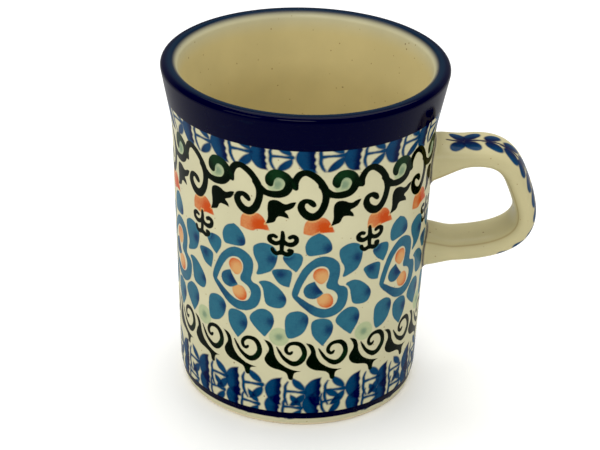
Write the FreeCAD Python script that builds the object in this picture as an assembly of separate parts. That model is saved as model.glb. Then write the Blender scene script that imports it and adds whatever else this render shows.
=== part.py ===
import FreeCAD, Part

import math
import os

# A stoneware mug: a turned clay cup, a strap handle luted on with slip, and the glaze that coats them.
# Units are millimetres. The origin is the middle of the foot, on the table. +Z is up, and the handle
# is on +X.

Vector = FreeCAD.Vector

# --- The cup's clay -------------------------------------------------------------------------------
cup_height = 100.7  # table to lip
rim_radius = 41.2  # outside edge of the lip
waist_radius = 37.65  # outside, where the flare towards the lip begins
base_radius = 34.95  # outside, where the heel meets the wall
foot_radius = 33.6  # outside edge of the ring that stands on the table
wall = 4.2  # thickness of the wall, foot to lip
flare_height = 18.0  # lip down to where the flare begins
heel_height = 5.5  # table up to where the heel meets the wall
floor_thickness = 5.2  # clay under the drink
recess_depth = 1.6  # hollow under the cup, inside the foot ring
foot_width = 4.2  # foot ring, inside to outside

lip_outer_round = 1.2
lip_inner_round = 2.2
flare_round = 50.0
heel_round = 9.0
floor_round = 9.0
foot_round = 0.7
recess_round = 0.8

# --- The strap handle -----------------------------------------------------------------------------
handle_drop = 29.3  # lip down to the middle of the upper root
root_spacing = 27.7  # middle of the upper root down to the middle of the lower root
handle_reach = 31.4  # wall out to the back of the strap
strap_width = 16.4
strap_thickness = 6.1
upper_root_height = 11.6  # height of the strap where its upper end meets the wall
lower_root_height = 10.4  # height of the strap where its lower end meets the wall
upper_root_length = 11.0  # wall out to where the strap is down to its own thickness
lower_root_length = 9.0
crown_rise = 7.0  # the strap's upper arch, above the upper root
section_power = 2.6  # 2 is an ellipse, and more is squarer

# --- Slip and glaze -------------------------------------------------------------------------------
slip_bed = 0.4  # slip between the strap's end and the wall
slip_round = 1.3  # slip worked into the corner round each root
glaze = 0.3  # thickness of every glazed coat
glaze_line = 1.2  # table up to where the glaze stops, which leaves the foot bare
band_height = 9.7  # lip down to the lower edge of the coloured band outside
band_inside = 2.6  # lip down to the band's edge inside

ROOM = 300.0  # larger than the mug, for cutting tools


# --- Turned pieces --------------------------------------------------------------------------------
def rounded_face(corners):
    """A flat face in the XZ plane from (x, z, radius) corners, with an arc at each rounded one."""
    edges = []
    starts = []
    ends = []
    for i, (x, z, radius) in enumerate(corners):
        here = Vector(x, 0, z)
        last = corners[i - 1]
        following = corners[(i + 1) % len(corners)]
        back = (Vector(last[0], 0, last[1]) - here).normalize()
        onward = (Vector(following[0], 0, following[1]) - here).normalize()
        half_angle = back.getAngle(onward) / 2
        setback = radius / math.tan(half_angle)
        starts.append(here + back * setback)
        ends.append(here + onward * setback)
        if radius > 0:
            depth = radius / math.sin(half_angle) - radius
            middle = here + (back + onward).normalize() * depth
            edges.append(Part.Arc(starts[i], middle, ends[i]).toShape())
    for i in range(len(corners)):
        edges.append(Part.LineSegment(ends[i - 1], starts[i]).toShape())
    return Part.Face(Part.Wire(Part.__sortEdges__(edges)))


def box_face(r_low, r_high, z_low, z_high):
    """A rectangle in the XZ plane, which picks out a zone of a section."""
    return rounded_face([(r_low, z_low, 0), (r_high, z_low, 0), (r_high, z_high, 0), (r_low, z_high, 0)])


def one_solid(shape):
    """The single solid of a result, with no compound around it."""
    if len(shape.Solids) != 1:
        raise ValueError("expected one solid, and got %d" % len(shape.Solids))
    return shape.Solids[0]


def turned(face):
    """The solid that a face in the XZ plane sweeps in one turn. Its seam is turned away from the handle."""
    solid = face.revolve(Vector(0, 0, 0), Vector(0, 0, 1), 360)
    solid.rotate(Vector(0, 0, 0), Vector(0, 0, 1), 180)
    return one_solid(solid)


flare_z = cup_height - flare_height
floor_z = recess_depth + floor_thickness
recess_radius = foot_radius - foot_width


def outside_corners():
    """Foot to lip, along the outside of the clay."""
    return [
        (foot_radius, 0, foot_round),
        (base_radius, heel_height, heel_round),
        (waist_radius, flare_z, flare_round),
        (rim_radius, cup_height, lip_outer_round),
    ]


def inside_corners():
    """Lip to floor, along the inside of the clay."""
    return [
        (rim_radius - wall, cup_height, lip_inner_round),
        (waist_radius - wall, flare_z, flare_round),
        (base_radius - wall, floor_z, floor_round),
        (0, floor_z, 0),
    ]


def clay_section():
    """The cup's clay, from the axis out."""
    recess = [
        (0, recess_depth, 0),
        (recess_radius, recess_depth, recess_round),
        (recess_radius, 0, foot_round),
    ]
    return rounded_face(recess + outside_corners() + inside_corners())


def filled_section():
    """The same outline with the cup's hollow and its recess filled in."""
    return rounded_face([(0, 0, 0)] + outside_corners() + [(0, cup_height, 0)])


def coat_zones():
    """The glaze on the cup as four sections: outside wall, coloured band, inside, and recess."""
    clay = clay_section()
    filled = filled_section()
    ring = clay.makeOffset2D(glaze).cut(clay).common(box_face(0, ROOM, -ROOM, ROOM))
    hollow = filled.cut(clay)
    band_low = cup_height - band_height
    band_stop = cup_height - band_inside
    liner = ring.common(hollow).common(box_face(0, ROOM, recess_depth + glaze, band_stop))
    recess = ring.common(hollow).common(box_face(0, ROOM, glaze_line - glaze, recess_depth))
    band = ring.common(box_face(0, ROOM, band_low, ROOM)).cut(liner)
    outside = ring.common(box_face(0, ROOM, glaze_line, band_low)).cut(hollow)
    return outside, band, liner, recess


# --- The strap ------------------------------------------------------------------------------------
def wall_radius(z):
    """Outside radius of the clay at a height on the straight part of the wall."""
    share = (z - heel_height) / (flare_z - heel_height)
    return base_radius + (waist_radius - base_radius) * share


upper_z = cup_height - handle_drop
lower_z = upper_z - root_spacing
upper_wall = wall_radius(upper_z)
lower_wall = wall_radius(lower_z)
middle_wall = (upper_wall + lower_wall) / 2
buried = 3.0  # how far the untrimmed strap runs into the wall
MIDDLE_LINE_SPANS = 3
RING_POINTS = 24
STRAP_STEPS = 18
SEAM_TURN = math.radians(50)  # keeps the fillets' seams clear of the strap's
FILLET_SHARES = (0, 0.06, 0.25, 0.6)  # where the fillet's flats meet, as shares of its radius


def middle_line(out):
    """The strap's middle line, a cubic B-spline. Shares of the distance out and down set its shape."""
    poles = [
        Vector(upper_wall, 0, upper_z),
        Vector(middle_wall + 0.63 * out, 0, upper_z + crown_rise),
        Vector(middle_wall + 0.84 * out, 0, upper_z - 0.23 * root_spacing),
        Vector(middle_wall + 1.00 * out, 0, upper_z - 0.78 * root_spacing),
        Vector(middle_wall + 0.52 * out, 0, lower_z),
        Vector(lower_wall, 0, lower_z),
    ]
    curve = Part.BSplineCurve()
    curve.buildFromPolesMultsKnots(poles, [4, 1, 1, 4], range(MIDDLE_LINE_SPANS + 1), False, 3)
    return curve


def fitted_middle_line():
    """The middle line, drawn so far out that the strap's back is at its reach."""
    wanted = handle_reach - strap_thickness / 2
    drawn = middle_line(wanted)
    furthest = max(drawn.value(MIDDLE_LINE_SPANS * i / 60).x for i in range(61)) - middle_wall
    return middle_line(wanted * wanted / furthest)


line = fitted_middle_line()
line_length = line.length()


def fade(distance, length):
    """1 at a root, and smoothly down to 0 at the given distance from it."""
    share = min(max(1 - distance / length, 0), 1)
    return share * share * (3 - 2 * share)


def strap_ring(along, growth, seam=0.0, on_wall=True):
    """The strap's outline at a distance along its middle line, grown all round.

    At each root the ring stands upright and wraps round the wall, and away from the roots it is square
    to the line. A distance below 0, or past the line's end, is inside the wall.
    """
    on_line = min(max(along, 0), line_length)
    inside = abs(along - on_line)
    parameter = line.parameterAtDistance(on_line)
    middle = line.value(parameter) - Vector(inside, 0, 0)
    tangent = Vector(*line.tangent(parameter)[0])
    square = Vector(-tangent.z, 0, tangent.x)
    from_upper = on_line
    from_lower = line_length - on_line
    upper = fade(from_upper, upper_root_length)
    lower = fade(from_lower, lower_root_length)
    across = square + (Vector(0, 0, 1) - square) * upper + (Vector(0, 0, -1) - square) * lower
    across.normalize()
    height = strap_thickness
    height += (upper_root_height - strap_thickness) * upper
    height += (lower_root_height - strap_thickness) * lower
    points = []
    for i in range(RING_POINTS):
        turn = 2 * math.pi * i / RING_POINTS + seam
        side = rounded(math.cos(turn)) * (strap_width / 2 + growth)
        lift = rounded(math.sin(turn)) * (height / 2 + growth)
        wrap = 0
        if on_wall and inside == 0:
            wrap = (middle_wall - math.sqrt(middle_wall**2 - side**2)) * (upper + lower)
        points.append(middle + across * lift + Vector(-wrap, side, 0))
    ring = Part.BSplineCurve()
    ring.interpolate(points, PeriodicFlag=True)
    return Part.Wire(ring.toShape())




def rounded(value):
    """A sine or cosine bent so that the ring is a rounded oblong."""
    return math.copysign(abs(value) ** (2 / section_power), value)


def strap_body(growth):
    """The strap from inside the wall, round the grip and back inside the wall, grown all round."""
    stations = [line_length * i / STRAP_STEPS for i in range(STRAP_STEPS + 1)]
    stations = [-buried] + stations + [line_length + buried]
    return Part.makeLoft([strap_ring(along, growth) for along in stations], True, False)


def from_root(is_upper, out):
    """The place along the middle line that is so far out from a root."""
    return out if is_upper else line_length - out


def root_fillet(distance):
    """How far a fillet of slip stands out from the strap, at a distance from the wall."""
    share = min(max(1 - distance / slip_round, 0), 1)
    return slip_round * (1 - math.sqrt(1 - share * share))


def root_body(is_upper, growth):
    """A root of the strap with its fillet of slip, grown all round, from inside the wall into the strap."""
    stations = [(-buried, slip_round + growth)]
    for share in FILLET_SHARES:
        out = share * slip_round
        stations.append((growth + out, growth + root_fillet(out)))
    end = stations[-1][0]
    rings = [strap_ring(from_root(is_upper, out), spread, SEAM_TURN) for out, spread in stations]
    rings.append(strap_ring(from_root(is_upper, end), -slip_round, SEAM_TURN, False))
    return Part.makeLoft(rings if is_upper else rings[::-1], True, True)


def grown_cup(growth):
    """The filled cup, grown all round."""
    section = filled_section()
    if growth > 0:
        section = section.makeOffset2D(growth).common(box_face(0, ROOM, -ROOM, ROOM))
    return turned(section)


# --- The pieces -----------------------------------------------------------------------------------
def make_pieces():
    """Every separate piece of the mug, by name."""
    filled = grown_cup(0)
    handle = one_solid(strap_body(0).cut(grown_cup(slip_bed)))
    upper_slip = one_solid(root_body(True, 0).cut(filled).cut(handle))
    lower_slip = one_solid(root_body(False, 0).cut(filled).cut(handle))
    glazed_strap = strap_body(glaze).fuse(root_body(True, glaze)).fuse(root_body(False, glaze))
    handle_coat = glazed_strap.cut(filled).cut(handle).cut(upper_slip).cut(lower_slip)
    outside, band, liner, recess = [turned(zone) for zone in coat_zones()]
    return {
        "cup_body": turned(clay_section()),
        "handle": handle,
        "upper_slip_joint": upper_slip,
        "lower_slip_joint": lower_slip,
        "outer_glaze": one_solid(outside.cut(glazed_strap)),
        "handle_glaze": one_solid(handle_coat),
        "rim_band_glaze": band,
        "liner_glaze": liner,
        "base_glaze": recess,
    }


os.makedirs("parts", exist_ok=True)
for name, piece in make_pieces().items():
    piece.exportStep("parts/%s.step" % name)
    box = piece.BoundBox
    print("%-18s %9.1f mm3, z %.2f to %.2f" % (name, piece.Volume, box.ZMin, box.ZMax))
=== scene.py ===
# %% [markdown]
# # A painted stoneware mug
#
# The mug is thrown or jiggered from pale clay, given a strap handle, stamped and brushed with blue, green
# and coral, and fired under a clear glaze. The clay, the handle and their joints come from the packed
# model. What the eye meets is the glaze, so this lesson builds every glazed coat again as a fine, smooth
# skin, paints the decoration on its points, and lets one shader turn that paint into fired colour.
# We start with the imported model, because every coat has to lie exactly on its clay.

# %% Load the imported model
import math

import bmesh
import bpy
import numpy as np
from mathutils import Matrix, Vector


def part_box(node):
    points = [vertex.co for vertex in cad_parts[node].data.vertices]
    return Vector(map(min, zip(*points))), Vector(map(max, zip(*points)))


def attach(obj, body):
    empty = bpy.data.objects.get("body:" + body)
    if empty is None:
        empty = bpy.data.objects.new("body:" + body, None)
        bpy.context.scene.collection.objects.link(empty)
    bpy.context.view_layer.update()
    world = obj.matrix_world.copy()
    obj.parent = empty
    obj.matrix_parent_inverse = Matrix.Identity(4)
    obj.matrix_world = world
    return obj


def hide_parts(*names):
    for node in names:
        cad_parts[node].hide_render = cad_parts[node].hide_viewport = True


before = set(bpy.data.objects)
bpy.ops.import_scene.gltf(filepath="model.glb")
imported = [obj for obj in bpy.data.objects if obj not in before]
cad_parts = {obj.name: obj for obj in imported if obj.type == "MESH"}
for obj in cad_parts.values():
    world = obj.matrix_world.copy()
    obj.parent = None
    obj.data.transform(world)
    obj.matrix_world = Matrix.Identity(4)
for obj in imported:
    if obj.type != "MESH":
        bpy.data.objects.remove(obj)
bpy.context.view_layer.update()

MM = 0.001
print("nodes:", sorted(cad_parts))

# %% [markdown]
# ## The clay's outline
#
# A turned pot is one outline swept round its axis. A potter checks it with a profile gauge, and we write it
# the same way: a few corners in millimetres, each with the radius of its rounding. The heights and the foot's
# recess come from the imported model, and the rest are the gauge's own numbers. A list of sampled points would
# give the same shape, but nobody could read it or change it.

# %% The outline of the clay, from the recess under the cup, over the lip, to the floor inside
GLAZE = 0.3
OUTLINE_STEP = 0.05
FOOT_RING = 4.2
rim_low, rim_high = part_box("rim_band_glaze")
lip_height = rim_high[2] / MM - GLAZE
band_low_edge = rim_low[2] / MM
floor_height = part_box("liner_glaze")[0][2] / MM
recess_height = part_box("base_glaze")[1][2] / MM
recess_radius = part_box("base_glaze")[1][1] / MM
glaze_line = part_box("outer_glaze")[0][2] / MM

LIP_RADIUS, WALL = 41.2, 4.2
HEEL_HEIGHT, HEEL_RADIUS = 5.5, 34.95
FLARE_DROP, WAIST_RADIUS = 18.0, 37.65
FOOT_RADIUS = recess_radius + FOOT_RING
FLARE_ROUND, HEEL_ROUND, FLOOR_ROUND = 50.0, 9.0, 9.0
LIP_OUTER_ROUND, LIP_INNER_ROUND = 1.2, 2.2
FOOT_ROUND, RECESS_ROUND = 0.7, 0.8
flare_height = lip_height - FLARE_DROP


def unit(v):
    """The same direction, one long."""
    return v / np.linalg.norm(v)


def rounded_line(corners, step=OUTLINE_STEP):
    """Evenly spaced points along straight runs joined by arcs. A corner is (radius, height, rounding)."""
    spots = [np.array(c[:2], float) for c in corners]
    path = [spots[0]]
    for before, here, after, corner in zip(spots, spots[1:], spots[2:], corners[1:]):
        back, onward = unit(before - here), unit(after - here)
        half = math.acos(np.clip(back @ onward, -1, 1)) / 2
        centre = here + unit(back + onward) * corner[2] / math.sin(half)
        first = here + back * corner[2] / math.tan(half)
        last = here + onward * corner[2] / math.tan(half)
        count = max(2, int(corner[2] * (math.pi - 2 * half) / step))
        for share in np.linspace(0, 1, count):
            ray = unit((first - centre) * (1 - share) + (last - centre) * share)
            path.append(centre + ray * corner[2])
    path.append(spots[-1])
    return respaced(np.array(path), step)


def respaced(path, step):
    """The same path with its points an even step apart."""
    steps = np.linalg.norm(np.diff(path, axis=0), axis=1)
    along = np.concatenate([[0], np.cumsum(steps)])
    keep = np.concatenate([[True], steps > 1e-9])
    wanted = np.linspace(0, along[-1], max(2, round(along[-1] / step) + 1))
    return np.stack([np.interp(wanted, along[keep], path[keep, k]) for k in range(2)], 1)


def beside(path, distance):
    """The path moved sideways by a distance: to the right of the way it runs, which is out of the clay."""
    way = np.gradient(path, axis=0)
    way /= np.linalg.norm(way, axis=1)[:, None]
    return path + np.stack([way[:, 1], -way[:, 0]], 1) * distance


clay = rounded_line([
    (0, recess_height, 0),
    (recess_radius, recess_height, RECESS_ROUND),
    (recess_radius, 0, FOOT_ROUND),
    (FOOT_RADIUS, 0, FOOT_ROUND),
    (HEEL_RADIUS, HEEL_HEIGHT, HEEL_ROUND),
    (WAIST_RADIUS, flare_height, FLARE_ROUND),
    (LIP_RADIUS, lip_height, LIP_OUTER_ROUND),
    (LIP_RADIUS - WALL, lip_height, LIP_INNER_ROUND),
    (WAIST_RADIUS - WALL, flare_height, FLARE_ROUND),
    (HEEL_RADIUS - WALL, floor_height, FLOOR_ROUND),
    (0, floor_height, 0),
])
coat = beside(clay, GLAZE)
coat[:, 0] = coat[:, 0].clip(0)
print("outline: %d points, lip at %.1f mm, widest %.2f mm" % (len(coat), coat[:, 1].max(), coat[:, 0].max()))

# %% Cut the coat's outline where one glaze meets the next
BAND_INSIDE = 2.6
lip_top = int(np.mean(np.nonzero(coat[:, 1] > coat[:, 1].max() - 1e-6)[0]))
goes_up = np.arange(len(coat)) < lip_top
outer_side = goes_up & (coat[:, 0] > (recess_radius + FOOT_RADIUS) / 2)
glaze_start = int(np.argmax(outer_side & (coat[:, 1] >= glaze_line)))
band_start = int(np.argmax(outer_side & (coat[:, 1] >= band_low_edge)))
liner_start = int(np.argmax(~goes_up & (coat[:, 1] <= lip_height - BAND_INSIDE)))

wall_path = coat[glaze_start:band_start + 1]
band_path = coat[band_start:liner_start + 1]
liner_path = coat[liner_start:]
base_path = coat[goes_up & ~outer_side & (coat[:, 1] >= recess_height / 2)]
for name, path in (("wall", wall_path), ("band", band_path), ("liner", liner_path), ("base", base_path)):
    length = len(path) * OUTLINE_STEP
    print("%-6s %5.1f mm long, from z %.2f to z %.2f" % (name, length, path[0, 1], path[-1, 1]))

# %% [markdown]
# ## Turning a coat
#
# Blender has a Screw modifier that turns an outline, but the decoration needs to know where every point
# lies: how far round the pot, and how high. So we lay the points out ourselves as a grid of rows and
# columns. Each coat is a closed shell: out along its skin, and back along its underside next to the clay.
# The grid also gives a tidy map for baking, cut into side-by-side strips so that a tall narrow pot fills a
# square image well.

# %% Build a closed shell from a grid of points
REFERENCE_RADIUS = 37.0


def shell_mesh(name, points):
    """A mesh from points[row, column, xyz] in mm. Rows and columns both close on themselves."""
    rows, columns = points.shape[:2]
    row, column = np.meshgrid(np.arange(rows), np.arange(columns), indexing="ij")
    next_row, next_column = (row + 1) % rows, (column + 1) % columns
    corners = [row * columns + column, row * columns + next_column]
    corners += [next_row * columns + next_column, next_row * columns + column]
    quads = np.stack(corners, -1).reshape(-1, 4)
    mesh = bpy.data.meshes.new(name)
    mesh.vertices.add(rows * columns)
    mesh.vertices.foreach_set("co", (points * MM).astype(np.float32).ravel())
    mesh.loops.add(quads.size)
    mesh.loops.foreach_set("vertex_index", quads.astype(np.int32).ravel())
    mesh.polygons.add(len(quads))
    mesh.polygons.foreach_set("loop_start", np.arange(0, quads.size, 4, dtype=np.int32))
    mesh.update(calc_edges=True)
    mesh.polygons.foreach_set("use_smooth", np.ones(len(quads), bool))
    return mesh


def add_bake_map(mesh, rows, columns, skin_rows, strips):
    """A map in side-by-side strips. The underside takes a thin margin, because nobody sees it."""
    row, column = np.meshgrid(np.arange(rows), np.arange(columns), indexing="ij")
    across = np.stack([column, column + 1, column + 1, column], -1) / columns * strips
    strip = np.floor(column / columns * strips)[..., None]
    u = across - strip
    margin = 0.02
    up = np.stack([row, row, row + 1, row + 1], -1).astype(float)
    on_skin = (row < skin_rows - 1)[..., None]
    skin = up / (skin_rows - 1) * (1 - margin)
    under = 1 - margin + (up - skin_rows + 1) / (rows - skin_rows + 1) * margin
    v = (np.where(on_skin, skin, under) + strip) / strips
    layer = mesh.uv_layers.new(name="OFBake")
    layer.uv.foreach_set("vector", np.stack([u, v], -1).astype(np.float32).ravel())


def turned_coat(name, path, step, columns, strips):
    """A coat turned from its outline. Returns the object, and the angle and outline place of each point."""
    skin = respaced(path, step)
    under = beside(respaced(path, step * 6), -0.9 * GLAZE)[::-1]
    under[:, 0] = under[:, 0].clip(0)
    section = np.concatenate([skin, under])
    angle = 2 * math.pi * np.arange(columns) / columns - math.pi
    r, z = section[:, :1], section[:, 1:]
    points = np.stack([r * np.sin(angle), -r * np.cos(angle), z + 0 * angle], -1)
    mesh = shell_mesh(name, points)
    add_bake_map(mesh, len(section), columns, len(skin), strips)
    piece = bpy.data.objects.new(name, mesh)
    bpy.context.scene.collection.objects.link(piece)
    mesh.set_sharp_from_angle(angle=math.radians(50))
    around = np.broadcast_to(angle, points.shape[:2]).ravel()
    along = np.broadcast_to(np.arange(len(section))[:, None], points.shape[:2]).ravel()
    return piece, around, np.broadcast_to(z, points.shape[:2]).ravel(), along * step

# %% [markdown]
# ## Pigments as depths
#
# A stamp or a brush leaves a patch with an edge. An image texture would blur that edge and tie the pot to a
# picture, so we give each point of the skin one number for each pigment instead: how many millimetres it lies
# inside the nearest patch, below zero outside. Between points the number runs straight, so the edge that the
# shader draws where it passes zero is far finer than the grid. More numbers say how heavily the colour was
# loaded, where the glaze thins and breaks lighter, and where painted shade lies inside the cup and on the
# strap's seams.

# %% A skin to paint on
PIGMENTS = ("cobalt", "border", "petal", "leaf", "pale", "coral")
BARE = -5.0  # depth where there is no paint anywhere near
TURN = 2 * math.pi * REFERENCE_RADIUS
rng = np.random.default_rng(7)


class Skin:
    """Points of a coat, laid out flat: u mm round it and v mm up it, with a depth for each pigment."""

    def __init__(self, u, v, turn=None):
        self.u, self.v, self.turn = u, v, turn
        self.depth = {name: np.full(len(u), BARE) for name in PIGMENTS}
        self.load = np.full(len(u), 0.3)
        self.breaking = np.zeros(len(u))
        # inside: how much painted shade the ground takes, warmer in the cup and darker on the strap's seams
        self.inside = np.zeros(len(u))

    def stamp(self, pigment, shape, u, v, tilt=0.0, size=1.0, load=lambda x, y: 0.3):
        """Press a shape on the skin, with a load of colour. Where two prints cross, the colour is heavier."""
        du = self.u - u
        if self.turn:
            du -= np.round(du / self.turn) * self.turn
        dv = self.v - v
        near = np.hypot(du, dv) < shape.reach * size + 1.5
        c, s = math.cos(tilt), math.sin(tilt)
        x = (c * du[near] + s * dv[near]) / size
        y = (-s * du[near] + c * dv[near]) / size
        depth = shape(x, y) * size
        before = self.depth[pigment][near]
        twice = np.minimum(before, depth).clip(0, 0.8)
        nearer = (depth > before) & (depth > -0.4)
        weight = np.where(nearer, load(x, y), self.load[near])
        self.load[near] = weight + 0.6 * twice
        self.depth[pigment][near] = np.maximum(before, depth)


# %% [markdown]
# ## Stamps and brush strokes
#
# The potter cuts stamps from sponge and adds the rest with a brush. A sponge patch is a closed outline whose
# corners are rubbed round, except where it was cut to a tip, and rubbing corners is just what corner cutting
# does to a polygon. A stroke is a line that swells and thins, like a string of discs of changing size. Both
# give the depth of any point, so one stamping routine serves for all.

# %% Three kinds of shape
class Patch:
    """A closed sponge-cut outline. A point given twice stays sharp."""

    def __init__(self, points, rubs=3):
        outline = np.array(points, float)
        for _ in range(rubs):
            ahead = np.roll(outline, -1, 0)
            cuts = [outline * 0.75 + ahead * 0.25, outline * 0.25 + ahead * 0.75]
            outline = np.stack(cuts, 1).reshape(-1, 2)
        self.start = outline[np.linalg.norm(np.roll(outline, -1, 0) - outline, axis=1) > 1e-6]
        self.run = np.roll(self.start, -1, 0) - self.start
        self.reach = np.abs(outline).max() * 1.42

    def __call__(self, x, y):
        p = np.stack([x, y], -1)[:, None]
        share = ((p - self.start) * self.run).sum(-1) / (self.run**2).sum(-1)
        gap = np.linalg.norm(p - self.start - share.clip(0, 1)[..., None] * self.run, axis=-1).min(1)
        low, high = self.start[:, 1], (self.start + self.run)[:, 1]
        spans = (low > y[:, None]) != (high > y[:, None])
        rise = np.where(np.abs(self.run[:, 1]) < 1e-12, 1e-12, self.run[:, 1])
        left = x[:, None] < self.start[:, 0] + self.run[:, 0] * (y[:, None] - low) / rise
        return np.where((spans & left).sum(1) % 2 == 1, gap, -gap)


class Stroke:
    """A brush stroke through (x, y, half width) points, along a smooth curve."""

    def __init__(self, points, parts=7):
        p = np.array(points, float)
        p = np.concatenate([[2 * p[0] - p[1]], p, [2 * p[-1] - p[-2]]])
        t = np.linspace(0, 1, parts, endpoint=False)[:, None]
        beads = []
        for a, b, c, d in zip(p, p[1:], p[2:], p[3:]):
            beads.append(b + 0.5 * t * (c - a + t * (2 * a - 5 * b + 4 * c - d + t * (3 * (b - c) + d - a))))
        beads = np.concatenate(beads + [p[-2:-1]])
        self.start, self.run = beads[:-1], np.diff(beads, axis=0)
        self.reach = np.abs(beads[:, :2]).max() * 1.42 + np.abs(beads[:, 2]).max()

    def __call__(self, x, y):
        p = np.stack([x, y], -1)[:, None] - self.start[:, :2]
        along = self.run[:, :2]
        share = ((p * along).sum(-1) / (along**2).sum(-1)).clip(0, 1)
        gap = np.linalg.norm(p - share[..., None] * along, axis=-1)
        return (self.start[:, 2] + share * self.run[:, 2] - gap).max(1)


class Dab:
    """A round dab of the brush."""

    def __init__(self, radius, x=0.0, y=0.0):
        self.radius, self.x, self.y = radius, x, y
        self.reach = radius + math.hypot(x, y)

    def __call__(self, x, y):
        return self.radius - np.hypot(x - self.x, y - self.y)


class Several:
    """Shapes that are stamped together."""

    def __init__(self, *shapes):
        self.shapes = shapes
        self.reach = max(shape.reach for shape in shapes)

    def __call__(self, x, y):
        return np.max([shape(x, y) for shape in self.shapes], axis=0)


class Without:
    """A shape with a window left in it."""

    def __init__(self, shape, window):
        self.shape, self.window = shape, window
        self.reach = shape.reach

    def __call__(self, x, y):
        return np.minimum(self.shape(x, y), -self.window(x, y))


def heavier_towards(x0, y0, spread=6.0, low=0.1, high=1.0):
    """A load that grows towards a place on the stamp, where the colour ran or the brush was lifted."""
    return lambda x, y: low + (high - low) * np.exp(-np.hypot(x - x0, y - y0) ** 2 / spread**2)


# %% [markdown]
# ## The blue heart flower
#
# The main flower is a heart on its side with its point to the left, cut as an outline that leaves the clay
# showing inside. A blue drop and two coral dabs sit in the window, and eight petals stand round the heart.
# No two petals are alike on the real pot, so each has its own few points, in millimetres from the heart's
# middle, and each carries its darkest colour where it was pressed last.

# %% Cut the flower's stamps
heart = Without(
    Patch([(-8.4, -1.8), (-8.0, 0.6), (-6.6, 4.4), (-4.9, 7.9), (-1.2, 11.2), (2.6, 11.0), (5.4, 8.6),
           (5.5, 4.8), (4.6, 1.4), (7.8, 0.6), (8.3, -2.8), (7.2, -6.8), (3.0, -9.2), (-1.6, -8.6),
           (-5.4, -5.0)]),
    Patch([(-6.5, -1.5), (-6.5, -1.5), (-5.2, 2.2), (-2.9, 6.6), (-0.4, 8.2), (2.0, 7.4), (2.5, 4.6),
           (1.0, 0.9), (3.8, -0.1), (5.3, -2.2), (4.2, -5.4), (1.0, -6.3), (-2.6, -4.5)]))
drop = Patch([(-5.2, 0.0), (-4.2, 2.1), (-1.8, 3.2), (-1.8, 3.2), (-0.9, 1.4), (0.9, -0.9), (0.9, -0.9),
              (-1.3, -2.7), (-4.0, -2.4)])
upper_dab = Patch([(-2.6, 4.8), (-1.7, 7.3), (1.4, 7.4), (2.3, 5.0), (1.6, 3.0), (0.2, 2.0), (-1.2, 2.8)])
lower_dab = Patch([(-1.2, -1.8), (0.6, -1.0), (2.6, -0.9), (3.9, -3.0), (3.5, -5.3), (1.6, -5.9),
                   (-0.7, -4.7)])
petals = [
    ([(-1.0, 18.6), (-1.0, 18.6), (-3.6, 17.4), (-5.0, 14.6), (-4.3, 11.2), (-1.9, 11.4), (2.8, 12.1),
      (2.8, 14.9), (1.2, 17.4)], (1.8, 13.4)),
    ([(5.0, 13.2), (8.0, 14.8), (11.4, 13.8), (12.4, 10.8), (11.2, 6.2), (8.6, 4.6), (5.8, 3.4),
      (7.0, 6.6), (5.4, 9.4), (4.9, 11.4)], (10.6, 9.6)),
    ([(6.8, 1.8), (9.8, 2.9), (12.8, 1.4), (16.0, -2.2), (15.0, -5.6), (12.4, -6.0), (9.6, -5.4),
      (9.0, -2.4), (8.5, 0.5)], (14.9, -2.2)),
    ([(4.3, -10.2), (6.6, -7.2), (9.4, -6.1), (12.0, -7.6), (12.5, -11.2), (9.7, -15.7), (9.7, -15.7),
      (6.2, -12.8)], (11.6, -10.4)),
    ([(-1.9, -9.6), (1.0, -9.1), (3.9, -10.0), (4.6, -14.0), (1.3, -18.5), (1.3, -18.5), (-1.8, -15.2),
      (-2.4, -12.0)], (3.3, -13.2)),
    ([(-9.6, -7.6), (-6.0, -6.3), (-3.2, -7.8), (-2.9, -10.6), (-4.6, -14.4), (-7.9, -16.0),
      (-9.4, -15.6), (-10.0, -11.6)], (-3.8, -9.6)),
    ([(-14.2, 6.1), (-11.2, 7.0), (-8.0, 6.6), (-8.1, 4.2), (-8.8, 1.0), (-8.8, 1.0), (-11.6, 1.6),
      (-13.2, 4.0)], (-11.2, 5.2)),
    ([(-11.4, 11.2), (-8.6, 12.7), (-5.2, 12.2), (-5.2, 9.2), (-7.0, 6.2), (-7.0, 6.2),
      (-9.6, 8.2)], (-9.6, 11.4)),
]
petals = [(Patch(points), heavier_towards(*dark, spread=1.6, low=0.25, high=0.85)) for points, dark in petals]

# %% [markdown]
# ## Vine, leaves, fans and the small stamps
#
# Above the flowers a brushed vine scrolls up and down with a dab of pale green in each upper scroll, a
# three-pointed leaf hangs in each hollow, and a coral fan sits under each lower scroll. Dark little sprigs
# stand between the flowers, and a row of commas, each a leaf with a scroll, runs below them. The borders are
# one stamp pressed again and again: a half flower, a bracket, and a stem with two leaves.

# %% Cut the vine's and the sprigs' stamps
vine = Several(
    Stroke([(-4.8, 7.4, 0.7), (-5.0, 9.5, 1.0), (-3.9, 11.7, 1.0), (-2.1, 12.4, 1.0), (0.0, 11.3, 1.05),
            (1.7, 9.5, 1.0), (2.9, 7.3, 1.1), (3.4, 5.2, 1.05), (3.2, 2.8, 1.05), (2.3, 0.4, 1.1),
            (0.8, -1.2, 1.2), (-1.0, -1.2, 1.25), (-2.5, 0.0, 1.15), (-3.2, 1.6, 1.05), (-2.8, 3.1, 0.87),
            (-1.5, 3.6, 0.75), (-0.4, 3.0, 0.9), (0.2, 2.3, 0.7)]),
    Stroke([(2.1, 8.2, 0.95), (3.7, 6.4, 1.0), (5.4, 5.3, 1.0), (7.9, 5.1, 1.1), (10.0, 5.7, 1.13),
            (11.2, 7.1, 1.2), (11.5, 8.9, 1.15), (10.8, 10.6, 1.2), (9.2, 11.6, 1.25), (7.5, 11.5, 1.35),
            (6.4, 10.3, 1.35), (6.1, 9.0, 1.2), (6.4, 8.2, 0.85)]),
    Stroke([(11.4, 8.7, 1.05), (12.3, 8.9, 0.75), (13.0, 7.6, 0.6)]))
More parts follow.
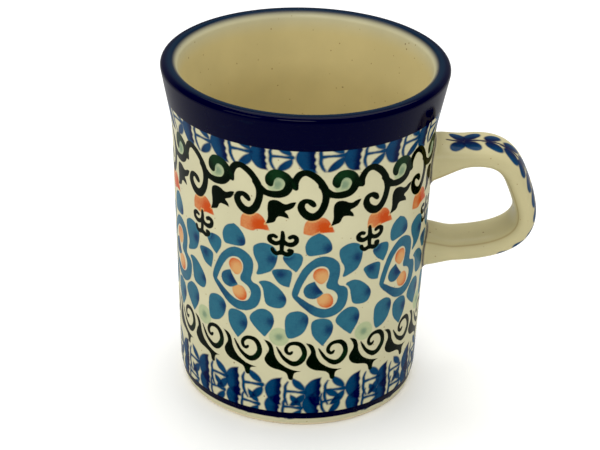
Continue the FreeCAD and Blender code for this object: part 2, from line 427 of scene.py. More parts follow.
hanging_leaf = Patch([(5.2, -4.4), (5.2, -4.4), (5.9, -2.0), (5.5, 1.4), (6.2, 3.2), (8.4, 3.5),
                      (10.6, 2.1), (12.2, 3.1), (13.6, 3.2), (13.6, 3.2), (12.6, 1.0), (10.1, 0.1),
                      (11.2, -0.6), (11.8, -2.2), (11.8, -2.2), (10.2, -1.7), (8.4, -1.6), (7.8, -3.6),
                      (6.6, -4.0)], rubs=2)
fan = Patch([(-1.2, -2.2), (2.6, -1.3), (4.5, -2.4), (5.6, -4.6), (6.4, -6.5), (6.4, -6.5), (4.2, -6.4),
             (2.4, -6.6), (1.7, -7.4), (0.2, -7.4), (-2.3, -6.7), (-2.3, -6.7), (-2.3, -4.8),
             (-2.0, -3.4)], rubs=2)
sprig = Several(
    Stroke([(0.2, 4.8, 0.52), (0.3, 3.9, 0.64), (0.3, 2.4, 0.74), (0.2, 0.6, 0.67), (0.2, -1.0, 0.62),
            (0.1, -1.9, 0.62)]),
    Stroke([(0.1, 2.0, 0.62), (-0.9, 1.2, 0.67), (-2.0, 1.05, 0.72), (-3.1, 1.7, 0.77), (-3.3, 2.8, 0.72),
            (-2.4, 3.4, 0.62), (-1.5, 3.1, 0.57)]),
    Stroke([(0.5, 2.1, 0.62), (1.5, 1.2, 0.67), (2.9, 1.1, 0.77), (4.0, 1.9, 0.72), (4.1, 3.2, 0.72),
            (3.2, 3.7, 0.67), (2.3, 3.3, 0.62)]),
    Stroke([(0.0, -1.6, 0.67), (-1.1, -2.1, 0.67), (-2.0, -1.7, 0.62), (-2.4, -0.9, 0.62)]),
    Stroke([(0.4, -1.6, 0.72), (1.6, -2.1, 0.72), (2.7, -1.7, 0.67), (3.0, -0.9, 0.62),
            (2.3, -0.8, 0.62)]))
comma = Several(
    Patch([(-11.5, 4.7), (-11.5, 4.7), (-9.1, 4.0), (-8.2, 2.0), (-8.0, 0.0), (-6.8, -2.2), (-4.9, -3.7),
           (-2.4, -4.8), (0.0, -5.1), (0.0, -5.1), (-1.9, -5.6), (-2.2, -6.8), (-2.2, -8.2), (-3.6, -8.2),
           (-4.0, -6.0), (-5.6, -5.2), (-9.3, -4.6), (-11.2, -2.4), (-10.5, -0.4), (-9.5, 1.1),
           (-10.0, 2.9)], rubs=2),
    Stroke([(-7.3, 2.5, 0.25), (-6.4, 0.9, 0.45), (-5.4, -0.6, 0.55), (-3.9, -1.9, 0.7),
            (-2.3, -2.6, 0.85), (-0.8, -2.2, 0.88), (0.4, -0.8, 0.88), (0.9, 0.8, 0.8), (0.5, 2.7, 0.8),
            (-0.6, 4.0, 0.75), (-2.1, 4.3, 0.65), (-3.5, 3.9, 0.6), (-4.4, 2.8, 0.6), (-4.5, 1.6, 0.62),
            (-3.9, 0.8, 0.55), (-3.2, 0.8, 0.52), (-2.8, 1.3, 0.4)]))

# %% Cut the border stamp
stem_and_leaves = Several(
    Stroke([(8.0, 0.1, 0.4), (9.5, 0.1, 0.45), (10.5, 0.0, 0.5), (12.3, 0.0, 0.8)]),
    Patch([(12.5, 0.3), (12.5, 0.3), (12.2, 2.1), (10.6, 3.9), (8.2, 4.9), (8.2, 4.9), (8.2, 3.2),
           (9.1, 1.7), (10.8, 0.7)], rubs=2),
    Patch([(12.5, -0.3), (12.5, -0.3), (12.6, -2.3), (11.2, -4.2), (8.9, -5.1), (7.7, -4.9), (7.7, -4.9),
           (8.4, -3.3), (9.5, -2.0), (11.0, -0.9)], rubs=2))
border = Several(
    Patch([(-0.2, 0.0), (0.4, 2.0), (2.2, 4.0), (5.2, 4.7), (5.2, 4.7), (4.7, 3.0), (5.3, 1.8),
           (4.6, 0.6), (5.3, -0.6), (4.6, -1.7), (5.3, -2.7), (4.8, -3.6), (5.4, -5.0), (5.4, -5.0),
           (2.2, -4.7), (0.5, -2.2)], rubs=2),
    Stroke([(7.0, 3.3, 0.3), (6.3, 1.7, 0.5), (6.4, 0.2, 0.55), (6.2, -1.6, 0.55), (6.6, -3.2, 0.5),
            (7.3, -4.6, 0.35)]),
    Stroke([(6.4, 0.1, 0.6), (8.5, 0.15, 0.45)]),
    stem_and_leaves)


def border_load(x, y):
    """The sponge pressed hardest down the half flower's open side and at the leaves' ends."""
    flower = np.exp(-((x - 4.3) / 1.2) ** 2)
    leaves = np.exp(-((x - 9.0) / 1.4) ** 2) * (y < -1.5)
    return 0.22 + 0.62 * flower + 0.25 * leaves


# %% [markdown]
# ## Decorating the wall
#
# The decorator turns the pot on a wheel and sets each row by eye, evenly but never exactly. A loop sets each
# row round the full turn, starting from the angle where the row meets the handle side, and a little seeded
# sway moves and turns every stamp. Heights are in millimetres above the table.

# %% Set the rows of stamps round the wall
def row(count, first_degrees, sway=0.25):
    """Places along a row in mm, evenly spaced from a first angle, each moved a little."""
    for i in range(count):
        yield TURN * (i / count + first_degrees / 360) + rng.normal(0, sway)


def tilt(degrees=1.6):
    """A small chance turn of a stamp."""
    return math.radians(rng.normal(0, degrees))


TOP_BORDER, VINE, SPRIG, FLOWER, PALE_DAB, COMMA = 88.3, 71.3, 59.4, 46.4, 30.7, 24.6
FOOT_BORDERS = (12.6, 7.5)
BAND_EDGE, BASE_LINE, BASE_LINE_HALF = 90.6, 3.95, 1.15


def paint_wall(skin):
    """Every row of the wall's decoration, from the top border down to the base line."""
    for u in row(19, 16.4, 0.35):
        v = TOP_BORDER + rng.normal(0, 0.2)
        skin.stamp("border", border, u, v, tilt(3), rng.normal(1, 0.03), border_load)
    for u in row(13, 4.9):
        turn = tilt()
        swell = rng.normal(1.0, 0.012)
        skin.stamp("pale", Dab(2.8, 8.3, 8.0), u, VINE, turn, load=heavier_towards(8.3, 8.2, 1.5))
        skin.stamp("coral", fan, u, VINE, turn, load=heavier_towards(3.6, -5.0, 2.4, 0.5, 1.05))
        skin.stamp("leaf", hanging_leaf, u, VINE, turn, swell, load=lambda x, y: 0.05)
        skin.stamp("leaf", vine, u, VINE, turn, swell, load=heavier_towards(8.0, 11.2, 3.2, 0.1, 0.8))
    for u in row(9, 10.0, 0.35):
        turn, v = tilt(), FLOWER + rng.normal(0, 0.2)
        for petal, load in petals:
            skin.stamp("petal", petal, u + rng.normal(0, 0.12), v + rng.normal(0, 0.12), turn, load=load)
        skin.stamp("petal", heart, u, v, turn, load=heavier_towards(-4.6, -5.0, 3.4, 0.32, 0.62))
        skin.stamp("petal", drop, u, v, turn, load=heavier_towards(-0.6, 0.6, 2.0, 0.4, 1.0))
        skin.stamp("coral", upper_dab, u, v, turn, load=lambda x, y: np.hypot(x - 0.6, y - 4.2) / 3.4 - 0.25)
        skin.stamp("coral", lower_dab, u, v, turn, load=lambda x, y: np.hypot(x - 0.7, y + 2.6) / 3.4 - 0.25)
    for u in row(9, -8.3, 0.35):
        skin.stamp("leaf", sprig, u, SPRIG + rng.normal(0, 0.4), tilt(3), load=lambda x, y: 0.05)
        skin.stamp("pale", Dab(3.0), u + rng.normal(0, 0.3), PALE_DAB, load=heavier_towards(0, 0, 1.2))
    for u in row(18, 1.2):
        skin.stamp("leaf", comma, u, COMMA, tilt(), load=heavier_towards(-0.4, 0.0, 2.0, 0.08, 0.45))
    for u in row(19, 3.3, 0.35):
        skin.stamp("border", border, u, FOOT_BORDERS[0], tilt(4), rng.normal(1, 0.04), border_load)
    for u in row(19, 3.6, 0.5):
        skin.stamp("border", border, u, FOOT_BORDERS[1], tilt(4), rng.normal(0.95, 0.04), border_load)
    skin.depth["cobalt"] = np.maximum(skin.v - BAND_EDGE, BASE_LINE_HALF - np.abs(skin.v - BASE_LINE))

# %% [markdown]
# ## The four turned coats
#
# The glaze was poured and dipped in four zones: the painted wall, the cobalt band over the lip, the liner and
# the recess under the foot. Each is its own piece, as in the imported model, and stands for that model's coat.
# The band's blue runs a little way over the lip and fades into the liner, so both coats carry the same
# numbers and the shader can't show where one stops.

# %% Give a coat its pigments and its place in the model
def finish_coat(piece, skin, node):
    """Store the skin's numbers on the mesh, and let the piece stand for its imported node."""
    layers = dict(skin.depth, load=skin.load, breaking=skin.breaking, inside=skin.inside)
    for name, values in layers.items():
        layer = piece.data.attributes.new(name, "FLOAT", "POINT")
        layer.data.foreach_set("value", values.astype(np.float32))
    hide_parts(node)
    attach(piece, "root")
    print("%-16s %7d faces" % (piece.name, len(piece.data.polygons)))
    return piece


fine = 0.36
columns = 2 * round(TURN / fine / 2)

wall, angle, height, _ = turned_coat("painted_wall_coat", wall_path, fine, columns, 2)
skin = Skin(angle * REFERENCE_RADIUS, height, TURN)
paint_wall(skin)
finish_coat(wall, skin, "outer_glaze")

# %% The band round the lip, and how its blue fades on the way in
LIP_FADE_START, LIP_FADE_LENGTH = 1.4, 2.4


def blue_over_the_lip(from_lip):
    """Depth of the cobalt at a way in from the top of the lip, from full to none."""
    share = (from_lip - LIP_FADE_START) / LIP_FADE_LENGTH
    return 0.16 * (1 - 2 * share).clip(-1, 1)


def breaking_at_the_lip(from_lip):
    """How far the glaze has run off the lip and left it lighter."""
    return 0.5 * np.exp(-((from_lip - 0.9) / 1.5) ** 2)


def painted_cup_shade(from_lip):
    """How much painted shade, warmer than the ground, lies at a way in from the lip: none near it, full deeper
    in the cup.
    """
    share = ((from_lip - 2.5) / 7).clip(0, 1)
    return share * share * (3 - 2 * share)


BAND_STEP = 0.25
band, angle, height, along = turned_coat("lip_band_coat", band_path, BAND_STEP, columns, 4)
skin = Skin(angle * REFERENCE_RADIUS, height, TURN)
band_rows = respaced(band_path, BAND_STEP)
to_lip = band_rows[:, 1].argmax() * BAND_STEP
skin.depth["cobalt"] = np.where(along < to_lip, 5.0, blue_over_the_lip(along - to_lip))
skin.breaking = breaking_at_the_lip(along - to_lip)
# painted shade: a warmer tone deeper inside the cup, none near the lip
skin.inside = painted_cup_shade(along - to_lip)
band_length = len(band_rows) * BAND_STEP - to_lip
finish_coat(band, skin, "rim_band_glaze")

# %% The liner and the recess under the cup
liner, angle, height, along = turned_coat("liner_coat", liner_path, 0.5, columns // 2, 1)
skin = Skin(angle * REFERENCE_RADIUS, height, TURN)
skin.depth["cobalt"] = blue_over_the_lip(along + band_length)
skin.breaking = breaking_at_the_lip(along + band_length)
# painted shade: a warmer tone deeper inside the cup, none near the lip
skin.inside = painted_cup_shade(along + band_length)
finish_coat(liner, skin, "liner_glaze")

recess, angle, height, _ = turned_coat("recess_coat", base_path, 0.4, columns // 2, 1)
finish_coat(recess, Skin(angle * REFERENCE_RADIUS, height, TURN), "base_glaze")
for piece in (liner, recess):
    made = bmesh.new()
    made.from_mesh(piece.data)
    bmesh.ops.remove_doubles(made, verts=made.verts, dist=1e-7)
    made.to_mesh(piece.data)
    made.free()

# %% [markdown]
# ## The strap handle
#
# The strap was pressed in a mould and luted on while the clay was leather hard. Its outline is a rounded
# oblong that swells into two roots, and slip was worked into the corner round each root. We carry such an
# outline along the strap's middle line, which is the same B-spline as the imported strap's, and let it flare
# where it meets the wall. The rows are close together at the flare, because a fillet needs more of them
# than the long plain back does.

# %% The strap's middle line
strap_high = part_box("handle_glaze")[1]
HANDLE_DROP, ROOT_SPACING, HANDLE_REACH, CROWN_RISE = 29.3, 27.7, 31.4, 7.0
STRAP_WIDTH, STRAP_THICKNESS = 16.4, 6.1
UPPER_ROOT_HEIGHT, LOWER_ROOT_HEIGHT = 11.6, 10.4
UPPER_ROOT_LENGTH, LOWER_ROOT_LENGTH = 11.0, 9.0
SECTION_POWER, SLIP_ROUND = 2.6, 1.3
upper_z = lip_height - HANDLE_DROP
lower_z = upper_z - ROOT_SPACING


def clay_radius(z):
    """Outside radius of the clay at a height on the straight part of the wall."""
    share = (z - HEEL_HEIGHT) / (flare_height - HEEL_HEIGHT)
    return HEEL_RADIUS + (WAIST_RADIUS - HEEL_RADIUS) * share


middle_wall = (clay_radius(upper_z) + clay_radius(lower_z)) / 2


def b_spline(poles, knots, t):
    """Points of a cubic B-spline, by de Boor's rule written as one weighted sum."""
    weights = np.array([(t >= a) & (t < b) for a, b in zip(knots, knots[1:])], float)
    for degree in (1, 2, 3):
        higher = []
        for i in range(len(knots) - 1 - degree):
            rise, fall = knots[i + degree] - knots[i], knots[i + degree + 1] - knots[i + 1]
            up = (t - knots[i]) / rise * weights[i] if rise else 0
            down = (knots[i + degree + 1] - t) / fall * weights[i + 1] if fall else 0
            higher.append(up + down)
        weights = higher
    return np.einsum("kn,kd->nd", np.array(weights), poles)


def middle_line(out):
    """The strap's middle line in (x, z), with its control points so far out."""
    poles = np.array([
        (clay_radius(upper_z), upper_z),
        (middle_wall + 0.63 * out, upper_z + CROWN_RISE),
        (middle_wall + 0.84 * out, upper_z - 0.23 * ROOT_SPACING),
        (middle_wall + 1.00 * out, upper_z - 0.78 * ROOT_SPACING),
        (middle_wall + 0.52 * out, lower_z),
        (clay_radius(lower_z), lower_z),
    ])
    return b_spline(poles, [0, 0, 0, 0, 1, 2, 3, 3, 3, 3], np.linspace(0, 3 - 1e-9, 2000))


wanted = HANDLE_REACH - STRAP_THICKNESS / 2
line = middle_line(wanted**2 / (middle_line(wanted)[:, 0].max() - middle_wall))
line_along = np.concatenate([[0], np.cumsum(np.linalg.norm(np.diff(line, axis=0), axis=1))])
line_length = line_along[-1]
print("strap's middle line: %.1f mm" % line_length)

# %% Rows of the strap's coat, close together at the fillets
RING_POINTS = 200


def fade(distance, length):
    """1 at a root, and smoothly down to 0 at a distance from it."""
    share = (1 - distance / length).clip(0, 1)
    return share * share * (3 - 2 * share)


def fillet_spread(distance):
    """How far the worked slip stands out from the strap, at a distance from the wall."""
    share = (1 - distance / SLIP_ROUND).clip(0, 1)
    return SLIP_ROUND * (1 - np.sqrt(1 - share * share))


fillet = SLIP_ROUND * (1 - np.cos(np.linspace(0, math.pi / 2, 14)))
root_rows = np.concatenate([[-1.2, -0.4], GLAZE + fillet - 0.02])
plain_rows = np.arange(root_rows[-1] + 0.35, line_length - root_rows[-1], 0.35)
rows = np.concatenate([root_rows, plain_rows, (line_length - root_rows)[::-1]])
inside = np.maximum(-rows, rows - line_length).clip(0)
on_line = rows.clip(0, line_length)
from_wall = np.minimum(rows, line_length - rows)

middle = np.stack([np.interp(on_line, line_along, line[:, k]) for k in range(2)], 1)
way = np.gradient(line, line_along, axis=0)
way = np.stack([np.interp(on_line, line_along, way[:, k]) for k in range(2)], 1)
way /= np.linalg.norm(way, axis=1)[:, None]
upper = fade(on_line, UPPER_ROOT_LENGTH)
lower = fade(line_length - on_line, LOWER_ROOT_LENGTH)
square = np.stack([-way[:, 1], way[:, 0]], 1)
upright = np.array([0.0, 1.0])
across = square + (upright - square) * upper[:, None] + (-upright - square) * lower[:, None]
across /= np.linalg.norm(across, axis=1)[:, None]
strap_height = STRAP_THICKNESS + (UPPER_ROOT_HEIGHT - STRAP_THICKNESS) * upper
strap_height += (LOWER_ROOT_HEIGHT - STRAP_THICKNESS) * lower
spread = GLAZE + fillet_spread(from_wall - GLAZE)

# %% Carry the outline along the line, and wrap its roots round the wall
ring_turn = 2 * math.pi * np.arange(RING_POINTS) / RING_POINTS


def bent(value):
    """A sine or cosine bent so that the ring is a rounded oblong."""
    return np.copysign(np.abs(value) ** (2 / SECTION_POWER), value)


side = bent(np.cos(ring_turn)) * (STRAP_WIDTH / 2 + spread)[:, None]
lift = bent(np.sin(ring_turn)) * (strap_height / 2 + spread)[:, None]
x = middle[:, :1] - inside[:, None] + across[:, :1] * lift
z = middle[:, 1:] + across[:, 1:] * lift
root_radius = clay_radius(middle[:, 1:])
here_radius = clay_radius(z)
wrap = root_radius - np.sqrt(here_radius**2 - side**2)
x -= wrap * (upper + lower)[:, None]
skin_points = np.stack([x, side, z], -1)

inner_rows = skin_points[::-1][::4]
centre = inner_rows.mean(axis=1, keepdims=True)
inner_points = centre + (inner_rows - centre) * 0.9
mesh = shell_mesh("strap_coat", np.concatenate([skin_points, inner_points]))
add_bake_map(mesh, len(skin_points) + len(inner_points), RING_POINTS, len(skin_points), 1)
strap = bpy.data.objects.new("strap_coat", mesh)
bpy.context.scene.collection.objects.link(strap)
mesh.set_sharp_from_angle(angle=math.radians(60))
print("strap reaches x %.2f mm, and the packed one %.2f" % (skin_points[..., 0].max(), strap_high[0] / MM))

# %% [markdown]
# ## Painting the strap
#
# A stem with pairs of leaves was stamped along the strap's back, with two prints back to back near the upper
# root, and a thin blue line was brushed round each root where the handle meets the wall. Along the strap, the
# flat distance is the way along its middle line, and across it the way round the outline from the middle of
# the back. The mould left a faint ridge of a seam along each side, and painted shade darkens a thin line along
# it.

# %% Stamp the strap's back, line its roots and paint shade along its seams
def strap_load(x, y):
    """Heaviest along the stem, and thinning towards the leaves' ends."""
    return 0.95 - 0.15 * np.abs(y)


ring_step = np.linalg.norm(np.diff(np.concatenate([skin_points, skin_points[:, :1]], 1), axis=1), axis=2)
ring_place = np.cumsum(ring_step, axis=1)
back_middle = ring_place[:, RING_POINTS // 4 - 1][:, None]
round_back = ring_place - back_middle
flat_along = np.broadcast_to(rows[:, None], round_back.shape)
skin = Skin(flat_along.ravel(), round_back.ravel())
leaf_pair = Several(*[
    Patch([(0.0, 0.1 * k), (0.0, 0.1 * k), (2.6, 0.4 * k), (4.5, 2.6 * k), (4.6, 5.0 * k), (2.8, 5.7 * k),
           (0.5, 4.3 * k), (-0.7, 2.0 * k)], rubs=2) for k in (1, -1)])
stem = Stroke([(-1.0, 0.0, 0.4), (1.0, 0.0, 0.55), (3.0, 0.0, 0.5), (5.6, 0.0, 0.35)])
back_leaves = Several(leaf_pair, stem)
CROSSING = 9.9  # from the upper root to the prints that stand back to back
FIRST_GAP, LEAF_GAP, BARE_END = 5.4, 4.3, 22
ROOT_LINE, ROOT_LINE_HALF = 0.62, 0.2
SEAM_SHARES, SEAM_WIDTH = (0.60, 0.90), 0.32


def nearer(along):
    """How far off the middle of the back the stamps sit. The row wanders more the further it goes."""
    return 1.0 + 0.065 * along + rng.normal(0, 0.15)


for turn in (math.pi, 0.0):
    skin.stamp("border", back_leaves, CROSSING, nearer(CROSSING), turn, 0.95, strap_load)
for place in np.arange(CROSSING + FIRST_GAP, line_length - BARE_END, LEAF_GAP):
    skin.stamp("border", back_leaves, place + rng.normal(0, 0.15), nearer(place), tilt(3),
               rng.normal(0.92, 0.03), strap_load)
off_wall = np.broadcast_to(from_wall[:, None], round_back.shape).ravel()
root_line = ROOT_LINE_HALF - np.abs(off_wall - ROOT_LINE)
skin.depth["border"] = np.maximum(skin.depth["border"], root_line)
skin.load = np.where(root_line > -ROOT_LINE_HALF, 0.85, skin.load)
hidden = len(inner_points) * RING_POINTS
for name in PIGMENTS:
    skin.depth[name] = np.concatenate([skin.depth[name], np.full(hidden, BARE)])
skin.load = np.concatenate([skin.load, np.zeros(hidden)])
skin.breaking = np.zeros(len(skin.load))
seams = [round(RING_POINTS * share) for share in SEAM_SHARES]
from_seam = np.min([np.abs(ring_place - ring_place[:, k:k + 1]) for k in seams], axis=0)
# Painted shade: a darker line along each mould seam, for the shade of its slight ridge.
painted_seam_shade = 0.8 * np.exp(-(from_seam.ravel() / SEAM_WIDTH) ** 2)
skin.inside = np.concatenate([painted_seam_shade, np.zeros(hidden)])
finish_coat(strap, skin, "handle_glaze")

# %% [markdown]
# ## Fired glaze
#
# One finish covers every coat: a warm cream clay with fine iron specks, the pigments laid over each other in
# the order they were painted, and a clear gloss on top. The strap takes a darker copy of it as painted shade,
# and the inner tone is painted shade too, warmer deep in the cup and darker on the strap's seams. The wobble
# of a sponge's edge and the grain of its print are noise added to the depth before it is cut into an edge.
# Colour pools darker at a patch's rim and where the load is heavy. The gloss is the shader's coat layer, which
# needs no
# painting: it takes its reflections from the studio.

# %% Small helpers for shader nodes
def colour(red, green, blue):
    """A colour as seen on a swatch, from 0 to 255, as the light that the shader works in."""
    parts = np.array([red, green, blue]) / 255
    return (*np.where(parts < 0.04045, parts / 12.92, ((parts + 0.055) / 1.055) ** 2.4), 1.0)


class Nodes:
    """Adds nodes to a material and links them as they are made."""

    def __init__(self, material):
        material.use_nodes = True
        self.tree = material.node_tree
        self.tree.nodes.clear()
        self.place = self.add("ShaderNodeTexCoord").outputs["Object"]

    def add(self, kind, settings=(), **inputs):
        node = self.tree.nodes.new(kind)
        for key, value in dict(settings).items():
            setattr(node, key, value)
        for key, value in inputs.items():
            numbered = key[-1].isdigit()
            socket = node.inputs[int(key[1:]) if numbered else key.replace("_", " ")]
            if isinstance(value, bpy.types.NodeSocket):
                self.tree.links.new(value, socket)
            else:
                socket.default_value = value
        return node

    def maths(self, operation, a, b=0.0):
        return self.add("ShaderNodeMath", {"operation": operation}, i0=a, i1=b).outputs[0]

    def attribute(self, name):
        return self.add("ShaderNodeAttribute", {"attribute_name": name}).outputs["Fac"]

    def noise(self, size_mm, detail=2.0, squeeze=(1.0, 1.0, 1.0)):
        """Noise from about -0.5 to 0.5, with features of a size in mm."""
        place = self.add("ShaderNodeMapping", Vector=self.place, Scale=squeeze).outputs[0]
        made = self.add("ShaderNodeTexNoise", Vector=place, Scale=1 / (size_mm * MM), Detail=detail)
        return self.maths("SUBTRACT", made.outputs["Fac"], 0.5)

    def between(self, value, low, high, out_low=0.0, out_high=1.0):
        made = self.add("ShaderNodeMapRange", {"interpolation_type": "SMOOTHSTEP"}, Value=value, From_Min=low,
                        From_Max=high, To_Min=out_low, To_Max=out_high)
        return made.outputs["Result"]

    def mix(self, share, a, b):
        made = self.add("ShaderNodeMix", {"data_type": "RGBA"}, i0=share, i6=a, i7=b)
        return made.outputs[2]

# %% The cream ground: clay under clear glaze, with specks of iron
def cream_ground(n, outer_tone, shaded_inner_tone):
    """The bare ground's colour, clouded and speckled, with painted shade in its inner tone: warmer inside the
    cup and darker on the strap's seams.
    """
    cloud = n.between(n.noise(14, 3), -0.3, 0.3)
    outside = n.mix(cloud, colour(*outer_tone), colour(*(t * 0.955 for t in outer_tone)))
    inside = n.mix(cloud, colour(*shaded_inner_tone), colour(*(t * 0.955 for t in shaded_inner_tone)))
    # Painted shade: the inner tone, warmer inside the cup and darker along the strap's seams.
    ground = n.mix(n.attribute("inside"), outside, inside)
    for spacing, size, tone in ((2.0, 0.14, (128, 96, 52)), (4.2, 0.09, (98, 68, 34))):
        cells = n.add("ShaderNodeTexVoronoi", Vector=n.place, Scale=1 / (spacing * MM), Randomness=1.0)
        chance = n.add("ShaderNodeSeparateColor", Color=cells.outputs["Color"]).outputs[0]
        chosen = n.between(chance, 0.58, 0.68)
        wide = n.maths("ADD", size, n.maths("MULTIPLY", n.noise(0.5), size))
        near = n.between(n.maths("SUBTRACT", wide, cells.outputs["Distance"]), 0.0, size * 0.6, 0.0, 0.7)
        ground = n.mix(n.maths("MULTIPLY", chosen, near), ground, colour(*tone))
    return ground

# %% Lay each pigment over the ground
PAINTS = {
    "pale": (colour(158, 170, 130), colour(92, 122, 96), 0.30, 0.85),
    "coral": (colour(194, 146, 92), colour(178, 62, 4), 0.22, 0.98),
    "petal": (colour(40, 98, 116), colour(2, 40, 80), 0.18, 0.99),
    "border": (colour(10, 58, 92), colour(0, 6, 50), 0.34, 1.0),
    "leaf": (colour(2, 8, 3), colour(14, 46, 22), 0.13, 1.0),
    "cobalt": (colour(2, 2, 30), colour(6, 40, 58), 0.16, 1.0),
}


def lay_pigments(n, ground):
    """The ground with every pigment over it. Each has a light and a heavy colour, a soft edge and a cover."""
    wobble = n.maths("ADD", n.maths("MULTIPLY", n.noise(1.6), 0.20), n.maths("MULTIPLY", n.noise(0.45), 0.10))
    grain = n.maths("ADD", n.maths("MULTIPLY", n.noise(2.4, 3), 0.9), n.maths("MULTIPLY", n.noise(0.6), 0.5))
    load, breaking = n.attribute("load"), n.attribute("breaking")
    for name, (light, heavy, soft, cover) in PAINTS.items():
        raw = n.attribute(name)
        depth = n.maths("ADD", raw, wobble)
        body = n.between(depth, -soft, soft, 0.0, cover)
        if name == "cobalt":
            body = n.between(raw, -0.16, 0.16, 0.0, cover)
            streaks = n.between(n.noise(1.2, 3, (0.12, 0.12, 1.0)), 0.05, 0.4, 0.0, 0.35)
            weight = n.maths("ADD", breaking, streaks)
        else:
            rim = n.between(depth, 0.6, 0.0, 0.0, 0.08)
            weight = n.maths("ADD", n.maths("ADD", load, n.maths("MULTIPLY", grain, 0.45)), rim)
        ground = n.mix(body, ground, n.mix(n.between(weight, 0.0, 1.0), light, heavy))
    return ground


def glaze_finish(name, outer_tone, shaded_inner_tone):
    """The fired glaze over clay and paint."""
    material = bpy.data.materials.new(name)
    n = Nodes(material)
    tone = lay_pigments(n, cream_ground(n, outer_tone, shaded_inner_tone))
    ripple = n.maths("ADD", n.maths("MULTIPLY", n.noise(3.5), 0.7), n.maths("MULTIPLY", n.noise(1.1), 0.3))
    bump = n.add("ShaderNodeBump", Strength=0.10, Distance=0.00012, Height=ripple)
    rough = n.between(n.noise(5), -0.4, 0.4, 0.40, 0.55)
    shader = n.add("ShaderNodeBsdfPrincipled", Base_Color=tone, Roughness=rough, Normal=bump.outputs[0],
                   Specular_IOR_Level=0.0, Coat_Weight=0.25, Coat_Roughness=0.12, Coat_IOR=1.4)
    n.add("ShaderNodeOutputMaterial", Surface=shader.outputs[0])
    return material


cup_glaze = glaze_finish("painted_and_glazed", (195, 190, 156), (202, 187, 134))
# The strap's copy is darker all over: painted shade for a handle that gets less light. Its inner tone is the
# painted shade along its seams.
shaded_strap_glaze = glaze_finish("shaded_strap_glaze", (186, 177, 136), (158, 142, 98))
for piece, material in ((wall, cup_glaze), (band, cup_glaze), (liner, cup_glaze), (recess, cup_glaze),
                        (strap, shaded_strap_glaze)):
    piece.data.materials.append(material)

# %% [markdown]
# ## Bare clay
#
# The foot ring was wiped clean of glaze so that the mug doesn't stick to the kiln shelf. It is the one place
# where the clay itself shows: dry, a little darker than the glazed ground, and finely gritty. The same clay
# makes the strap and the slip under their glaze.

# %% Dress the packed clay
def bare_clay(name, tone, grit):
    """Dry fired clay with grit."""
    material = bpy.data.materials.new(name)
    n = Nodes(material)
    speck = n.between(n.noise(0.35), 0.12, 0.3)
    cloud = n.between(n.noise(6, 3), -0.3, 0.3)
    base = n.mix(cloud, colour(*tone), colour(*(t * 0.93 for t in tone)))
    bump = n.add("ShaderNodeBump", Strength=0.35, Distance=0.00015, Height=n.noise(0.3, 4))
    shader = n.add("ShaderNodeBsdfPrincipled", Base_Color=n.mix(speck, base, colour(*grit)), Roughness=0.85,
                   Normal=bump.outputs[0])
    n.add("ShaderNodeOutputMaterial", Surface=shader.outputs[0])
    return material


clay_material = bare_clay("bare_clay", (222, 208, 176), (176, 150, 110))
slip_material = bare_clay("fired_slip", (218, 203, 170), (170, 146, 108))
CLAY_PIECES = {"cup_body": clay_material, "handle": clay_material,
               "upper_slip_joint": slip_material, "lower_slip_joint": slip_material}
for node, material in CLAY_PIECES.items():
    packed = bpy.data.objects[node]
    packed.data.materials.clear()
    packed.data.materials.append(material)

# %% [markdown]
# ## The studio
#
# A plain pale floor, white all round, and three soft lights. Glaze shows whatever surrounds it, so broad
# white light gives the pale sheen down both sides of the cobalt band, with no hard highlights.

# %% Floor, light and air
bpy.ops.mesh.primitive_plane_add(size=4.0, location=(0, 0, 0))
floor = bpy.context.object
floor.name = "studio_floor"
paper = bpy.data.materials.new("pale_paper")
n = Nodes(paper)
shade = n.mix(n.between(n.noise(40, 3), -0.4, 0.4), colour(254, 254, 252), colour(251, 251, 248))
shader = n.add("ShaderNodeBsdfPrincipled", Base_Color=shade, Roughness=0.55)
n.add("ShaderNodeOutputMaterial", Surface=shader.outputs[0])
floor.data.materials.append(paper)

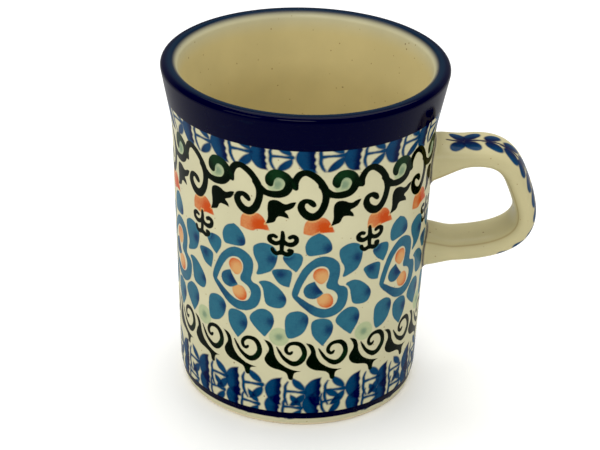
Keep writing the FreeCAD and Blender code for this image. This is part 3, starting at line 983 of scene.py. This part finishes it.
TENT_BRIGHTNESS, BLACK_LEVEL = 0.70, 0.009
world = bpy.data.worlds.new("white_tent")
bpy.context.scene.world = world
world.use_nodes = True
world.node_tree.nodes["Background"].inputs["Color"].default_value = (1, 1, 1, 1)
world.node_tree.nodes["Background"].inputs["Strength"].default_value = TENT_BRIGHTNESS


def softbox(name, place, aim, size, watts):
    """A square soft light at a place, aimed at a point."""
    light = bpy.data.lights.new(name, "AREA")
    light.shape = "SQUARE"
    light.size = size
    light.energy = watts
    lamp = bpy.data.objects.new(name, light)
    lamp.location = place
    lamp.rotation_mode = "QUATERNION"
    lamp.rotation_quaternion = (Vector(aim) - Vector(place)).to_track_quat("-Z", "Y")
    bpy.context.scene.collection.objects.link(lamp)


softbox("overhead", (0.05, 0.25, 0.95), (0, 0, 0.03), 0.9, 6.6)
softbox("left_front", (-0.8, -0.7, 0.55), (0, 0, 0.05), 0.6, 1.9)
softbox("above_the_camera", (-0.1, -0.9, 0.85), (0, 0, 0.05), 0.5, 3.0)
view = bpy.context.scene.view_settings
view.view_transform = "Standard"
view.use_curve_mapping = True
view.curve_mapping.black_level = (BLACK_LEVEL,) * 3
view.curve_mapping.update()

# %% [markdown]
# ## The camera
#
# A long lens from a little above, so that the lip shows as an ellipse and the far side of the pot hardly
# shrinks. The place is worked out from the distance and the elevation, and the roll is a slight lean.

# %% Place the camera
DISTANCE, ELEVATION, ROLL = 0.6113, math.radians(27.1), math.radians(1.639)
SENSOR, FOCAL_LENGTH, SHIFT_X, SHIFT_Y = 36.0, 124.7, -0.0022, -0.0120
target = Vector((0, 0, (lip_height + GLAZE) / 2 * MM))
away = Vector((0, -math.cos(ELEVATION), math.sin(ELEVATION)))
lens = bpy.data.cameras.new("studio_camera")
lens.sensor_width = SENSOR
lens.lens = FOCAL_LENGTH
lens.shift_x, lens.shift_y = SHIFT_X, SHIFT_Y
camera = bpy.data.objects.new("studio_camera", lens)
camera.location = target + away * DISTANCE
camera.rotation_mode = "QUATERNION"
camera.rotation_quaternion = (-away).to_track_quat("-Z", "Y") @ Matrix.Rotation(ROLL, 3, "Z").to_quaternion()
bpy.context.scene.collection.objects.link(camera)
bpy.context.scene.camera = camera
